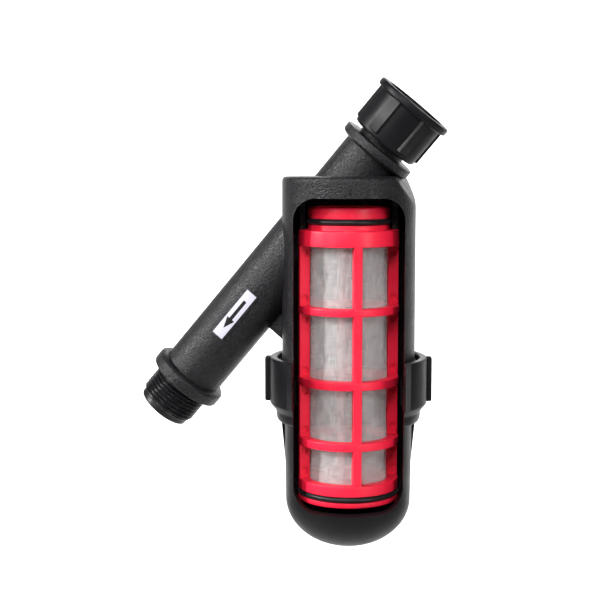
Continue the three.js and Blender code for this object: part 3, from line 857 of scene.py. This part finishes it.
def o_ring(name, outer, level, node):
    """An O-ring on the cartridge. Its round section, of radius h, has its points at
    (outer - h + h cos b) from the axis and h sin b over the level."""
    half = SEAL_SECTION / 2
    b = np.linspace(0, TAU, 20, endpoint=False)
    corners = [(outer - half + half * math.cos(t), level + half * math.sin(t), 0) for t in b]
    made = solid(name, revolved(corners, 160))
    finish(made, RUBBER_FINISH, "cartridge", node)


def cage():
    """The cartridge's cage: neck, head, foot, hoops and ribs in one moulding."""
    head_top, head_low = CAGE_TOP - NECK_HEIGHT, CAGE_TOP - NECK_HEIGHT - HEAD_HEIGHT
    inner = NECK_R - 4.2
    half = SEAL_SECTION / 2 + 0.15
    root = seal_high[1] - SEAL_SECTION - REST_GAP
    neck_and_head = [
        (CAGE_BORE, head_low, 0.4), (CAGE_R, head_low, 0.5), (CAGE_R - 0.4, head_top, 0.7),
        (NECK_R, head_top, 0.5),
        (NECK_R, NECK_SEAL - half, 0.3), (root, NECK_SEAL - half, 0.2),
        (root, NECK_SEAL + half, 0.2), (NECK_R, NECK_SEAL + half, 0.4),
        (NECK_R, CAGE_TOP - 1, 0.3), (NECK_R - 0.4, CAGE_TOP, 0.4), (inner, CAGE_TOP, 0.6),
        (inner, head_top - 2.4, 0.3), (CAGE_BORE, head_top - 2.4, 0.3),
    ]
    foot_root = foot_seal_high[1] - SEAL_SECTION - REST_GAP
    foot = [
        (CAGE_BORE, CAGE_FOOT, 0.3), (CAGE_R, CAGE_FOOT, 1.2),
        (CAGE_R, FOOT_SEAL - half, 0.3), (foot_root, FOOT_SEAL - half, 0.2),
        (foot_root, FOOT_SEAL + half, 0.2), (CAGE_R, FOOT_SEAL + half, 0.4),
        (CAGE_R, CAGE_FOOT + FOOT_HEIGHT, 0.6), (CAGE_BORE, CAGE_FOOT + FOOT_HEIGHT, 0.3),
    ]
    hoops = []
    for down, height in HOOPS:
        high, low = CAGE_TOP - down, CAGE_TOP - down - height
        hoops.append(revolved([
            (CAGE_BORE, low, 0.5), (CAGE_R, low, 0.7), (CAGE_R, high, 0.7), (CAGE_BORE, high, 0.5),
        ]))
    made = solid("cage", together(revolved(neck_and_head), revolved(foot), *hoops))
    low, high = CAGE_FOOT + FOOT_HEIGHT - 1, head_low + 1
    out = CAGE_R - 0.15
    rib = soft_block(RIB_THICKNESS, out - CAGE_BORE, high - low, 0.45)
    middle = (0, -(out + CAGE_BORE) / 2, (low + high) / 2)
    join(made, four_round(placed(rib, None, middle), FACING + RIB_TURN))
    cut(made, together(*pin_marks()))
    finish(made, RED_FINISH, "cartridge", "cartridge_frame")


def pin_marks():
    """Shallow round marks that ejector pins left on the flat sides of the two side ribs, just
    above and below each hoop."""
    depth, radius, clear = 1.2, 2.0, 3.8
    middle = (CAGE_R + CAGE_BORE) / 2
    head_low, foot_top = CAGE_TOP - NECK_HEIGHT - HEAD_HEIGHT, CAGE_FOOT + FOOT_HEIGHT
    levels = [head_low - clear - 0.6, foot_top + clear + 0.6]
    for down, height in HOOPS:
        levels += [CAGE_TOP - down + clear, CAGE_TOP - down - height - clear]
    along_x = np.array([[0, 0, 1], [1, 0, 0], [0, 1, 0]])
    pin = placed(bar(radius, -depth, depth, 28), along_x)
    marks = []
    for rib, side in ((1, -1), (3, 1)):
        turn = turn_z(FACING + RIB_TURN + rib * QUARTER)
        for level in levels:
            at_face = placed(pin, None, (side * RIB_THICKNESS / 2, -middle, level))
            marks.append(placed(at_face, turn))
    return marks


def end_cap():
    """The red disc pressed into the cage's foot, with a softened rim."""
    low, high, r = cap_low[2], cap_high[2], cap_high[1]
    corners = [(0, low, 0), (r, low, 0.6), (r, high, 0.5), (0, high, 0)]
    made = solid("cage_end_disc", revolved(corners))
    finish(made, RED_FINISH, "cartridge", "cartridge_end_cap")


def corner_points(mesh):
    """The place of each face corner, in metres."""
    corners = np.zeros(len(mesh.loops), np.int64)
    mesh.loops.foreach_get("vertex_index", corners)
    co = np.zeros(len(mesh.vertices) * 3)
    mesh.vertices.foreach_get("co", co)
    return co.reshape(-1, 3)[corners]


def map_surface(mesh, name, uv):
    """Gives a mesh a UV map with one pair of coordinates for each face corner."""
    layer = mesh.uv_layers.new(name=name)
    layer.data.foreach_set("uv", uv.astype(np.float32).reshape(-1))


def screen():
    """The woven sleeve: a thin tube, held out by hoops and ribs, that sags in between. Its
    radius falls by soft upright folds and slanting creases, each a sine to a power."""
    low, high = sleeve_low[2], sleeve_high[2]
    rows, columns, wall = 300, 420, 0.2
    z = np.linspace(low, high, rows)[:, None]
    a = np.linspace(0, TAU, columns, endpoint=False)[None, :]
    head_low = CAGE_TOP - NECK_HEIGHT - HEAD_HEIGHT
    hoops = [CAGE_TOP - down - height / 2 for down, height in HOOPS[::-1]]
    edges = [CAGE_FOOT + FOOT_HEIGHT, *hoops, head_low]
    bay = np.interp(z[:, 0], edges, np.arange(5.0))[:, None]
    between_hoops = np.sin(math.pi * (bay % 1)) ** 2
    between_ribs = np.sin(2 * (a - FACING - RIB_TURN)) ** 2
    free = between_hoops * (0.35 + 0.65 * between_ribs)
    upright = np.sin(7 * a + 0.8 * np.sin(0.11 * z)) ** 2
    upright = upright + 0.6 * np.sin(13 * a - 0.05 * z + 1) ** 4
    slant = np.sin(5 * a + 0.16 * z + 0.7) ** 8 + 0.8 * np.sin(4 * a - 0.21 * z + 2.1) ** 10
    dip = free * (0.4 + 0.35 * upright + 0.45 * slant)
    outer = MESH_R - 0.05 - dip

    def tube_at(radius):
        return np.stack([radius * np.sin(a), -radius * np.cos(a), z + 0 * a], -1)

    grid = np.concatenate([tube_at(outer), tube_at(outer - wall)[::-1]])
    made = solid("screen_sleeve", skin_of(grid, True))
    map_cloth(made.data)
    finish(made, SCREEN_FINISH, "cartridge", "mesh_sleeve", 60)


def map_cloth(mesh):
    """UVs in metres on the sleeve: the angle times the radius, and the height. A face that
    crosses the seam takes its angles from one side of it."""
    co = corner_points(mesh)
    angle = np.arctan2(co[:, 0], -co[:, 1]).reshape(-1, 3)
    angle = np.where(angle - angle.min(1, keepdims=True) > math.pi, angle - TAU, angle)
    map_surface(mesh, "cloth", np.stack([angle.reshape(-1) * MESH_R * MM, co[:, 2]], -1))


# ---- label ---------------------------------------------------------------------------------


def flow_label():
    """The label: a thin film bent round the pipe in its pocket, with its length and its
    width as UVs in metres from its middle, the length running to the outlet."""
    inner, thickness, half = POCKET_FLOOR + REST_GAP, 0.35, LABEL_WIDTH / 2
    plate = bent_plate(LABEL_LENGTH, -half, half, inner, inner + thickness)
    made = solid("flow_arrow_label", plate)
    local = corner_points(made.data) @ PIPE
    angle = np.arctan2(local[:, 0], -local[:, 1]) - LABEL_TURN
    along, across = -local[:, 2] - LABEL_REACH * MM, angle * PIPE_R * MM
    map_surface(made.data, "film", np.stack([along, across], -1))
    film = printed_vinyl(start=-9.6, neck=3.3, tip=9.9, bar_half=1.0, head_half=2.6)
    finish(made, film, "body", "flow_label")


# ---- the object ----------------------------------------------------------------------------

body_shell()
union_nut()
inlet_gasket()
ring_nut()
bowl()
cage()
end_cap()
o_ring("neck_seal", seal_high[1], NECK_SEAL, "neck_o_ring")
o_ring("foot_seal", foot_seal_high[1], FOOT_SEAL, "foot_o_ring")
flow_label()
screen()

for node, material in (("nut_snap_ring", SATIN_FINISH), ("bowl_o_ring", RUBBER_FINISH)):
    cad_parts[node].data.materials.clear()
    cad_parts[node].data.materials.append(material)

# ---- floor, light and camera ---------------------------------------------------------------


def backdrop():
    """A floor of matt white paper, without gloss, that curves up into a wall: level, then a
    quarter circle, then upright."""
    low, near, far, bend, high, half_width = -0.46, -1.6, 1.5, 0.8, 2.6, 3
    a = np.linspace(0, math.pi / 2, 24)
    y = np.concatenate([[near], far - bend + bend * np.sin(a), [far]])
    z = np.concatenate([[low], low + bend - bend * np.cos(a), [high]])
    count = len(y)
    points = [(x, yy, zz) for x in (-half_width, half_width) for yy, zz in zip(y, z)]
    faces = [(i, count + i, count + i + 1, i + 1) for i in range(count - 1)]
    mesh = bpy.data.meshes.new("backdrop")
    mesh.from_pydata(points, [], faces)
    mesh.shade_smooth()
    made = bpy.data.objects.new("backdrop", mesh)
    bpy.context.scene.collection.objects.link(made)
    paper, _, _ = surface("matt_white_paper", "ffffff", 0.9)
    mesh.materials.append(paper)


def softbox(name, place, aim, size, power, spread):
    """A rectangular area light that looks at a point, held to a spread in degrees."""
    light = bpy.data.lights.new(name, "AREA")
    light.shape = "RECTANGLE"
    light.size, light.size_y = size
    light.energy = power
    light.spread = spread * DEGREE
    made = bpy.data.objects.new(name, light)
    made.location = place
    made.rotation_mode = "QUATERNION"
    made.rotation_quaternion = (Vector(aim) - Vector(place)).to_track_quat("-Z", "Y")
    bpy.context.scene.collection.objects.link(made)


def studio():
    """Dark surroundings, two tall softboxes and a wide one in front of the object, a narrow
    one at its left for a streak along the pipe, one above, and a light on the wall behind,
    which gives the black plastic its light edges."""
    world = bpy.data.worlds.new("studio")
    world.use_nodes = True
    world.node_tree.nodes["Background"].inputs["Color"].default_value = linear("ffffff")
    world.node_tree.nodes["Background"].inputs["Strength"].default_value = 0.15
    bpy.context.scene.world = world
    bpy.context.scene.view_settings.view_transform = "Standard"
    centre = (0, 0, -0.1)
    softbox("left_softbox", (-0.62, -1.15, 0.35), centre, (0.3, 0.9), 0.95, 60)
    softbox("edge_softbox", (-1.15, -0.55, 0.5), centre, (0.12, 0.8), 3.2, 60)
    softbox("right_softbox", (1.05, -0.85, 0.1), centre, (0.25, 0.9), 0.9, 60)
    softbox("front_softbox", (0.1, -1.1, 0.6), centre, (0.5, 0.3), 1.05, 60)
    softbox("top_softbox", (0.1, -0.75, 1.0), centre, (0.6, 0.4), 0.35, 60)
    softbox("wall_light", (-0.1, 0.45, 1.5), (-0.25, 1.45, -0.1), (1.0, 0.6), 16, 75)


def camera():
    """The camera stands 725 mm from the chamber's axis and a little above the pipe crossing,
    9.5 degrees round towards the inlet, and looks slightly down and left of the object."""
    round_by, distance, height = 9.5 * DEGREE, 0.7254, 0.0159
    pitch, yaw = 6.424 * DEGREE, 2.025 * DEGREE
    focal_length, film_width = 77.95, 36
    ahead = Vector((-math.sin(round_by), math.cos(round_by), 0))
    aside = Vector((math.cos(round_by), math.sin(round_by), 0))
    level = ahead * math.cos(yaw) - aside * math.sin(yaw)
    right = aside * math.cos(yaw) + ahead * math.sin(yaw)
    forward = level * math.cos(pitch) + Vector((0, 0, -math.sin(pitch)))
    up = right.cross(forward)
    made = bpy.data.objects.new("camera", bpy.data.cameras.new("camera"))
    made.data.sensor_width = film_width
    made.data.lens = focal_length
    place = Matrix((right, up, -forward)).transposed().to_4x4()
    place.translation = -ahead * distance + Vector((0, 0, height))
    made.matrix_world = place
    bpy.context.scene.collection.objects.link(made)
    bpy.context.scene.camera = made


backdrop()
studio()
camera()
